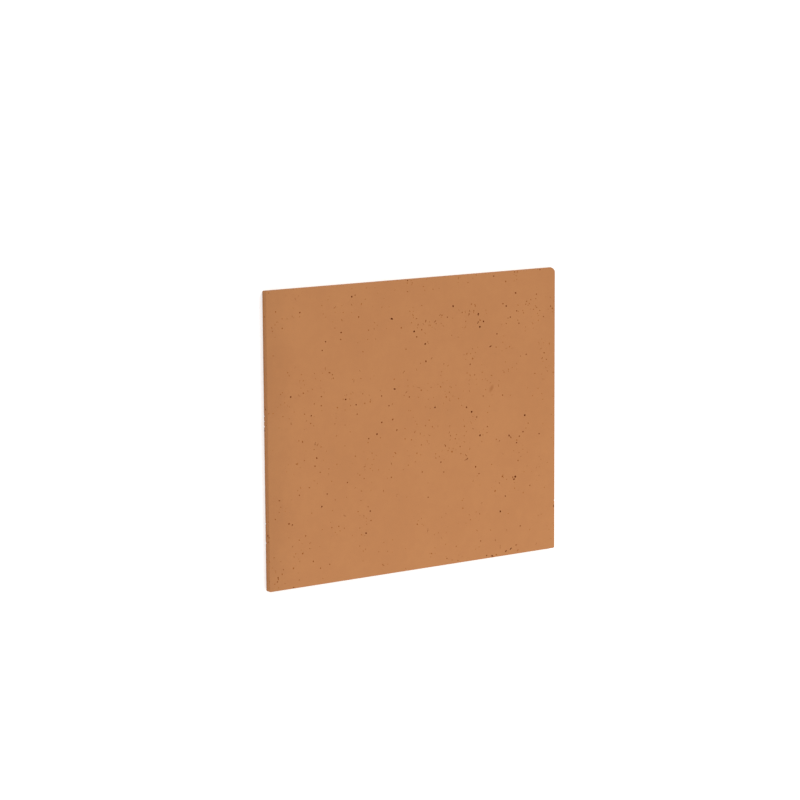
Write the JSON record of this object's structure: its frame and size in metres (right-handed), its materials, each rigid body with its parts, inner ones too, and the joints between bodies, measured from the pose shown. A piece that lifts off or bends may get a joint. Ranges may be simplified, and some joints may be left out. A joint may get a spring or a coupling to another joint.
{
  "type": "concrete wall panel",
  "caption": "Thin rectangular cladding slab of terracotta-pigmented cast concrete, smooth show face with small air voids, one rounded corner.",
  "frame": {"origin": "centre of the back face, which is the face that the panel lies on", "axes": "+Z out of the show face, +X along the panel's width, +Y towards the edge that is uppermost on the wall"},
  "size_m": [0.6, 0.5, 0.0105],
  "materials": {
    "pigmented_concrete": "matte"
  },
  "bodies": {
    "root": {"panel": "pigmented_concrete"}
  },
  "joints": []
}
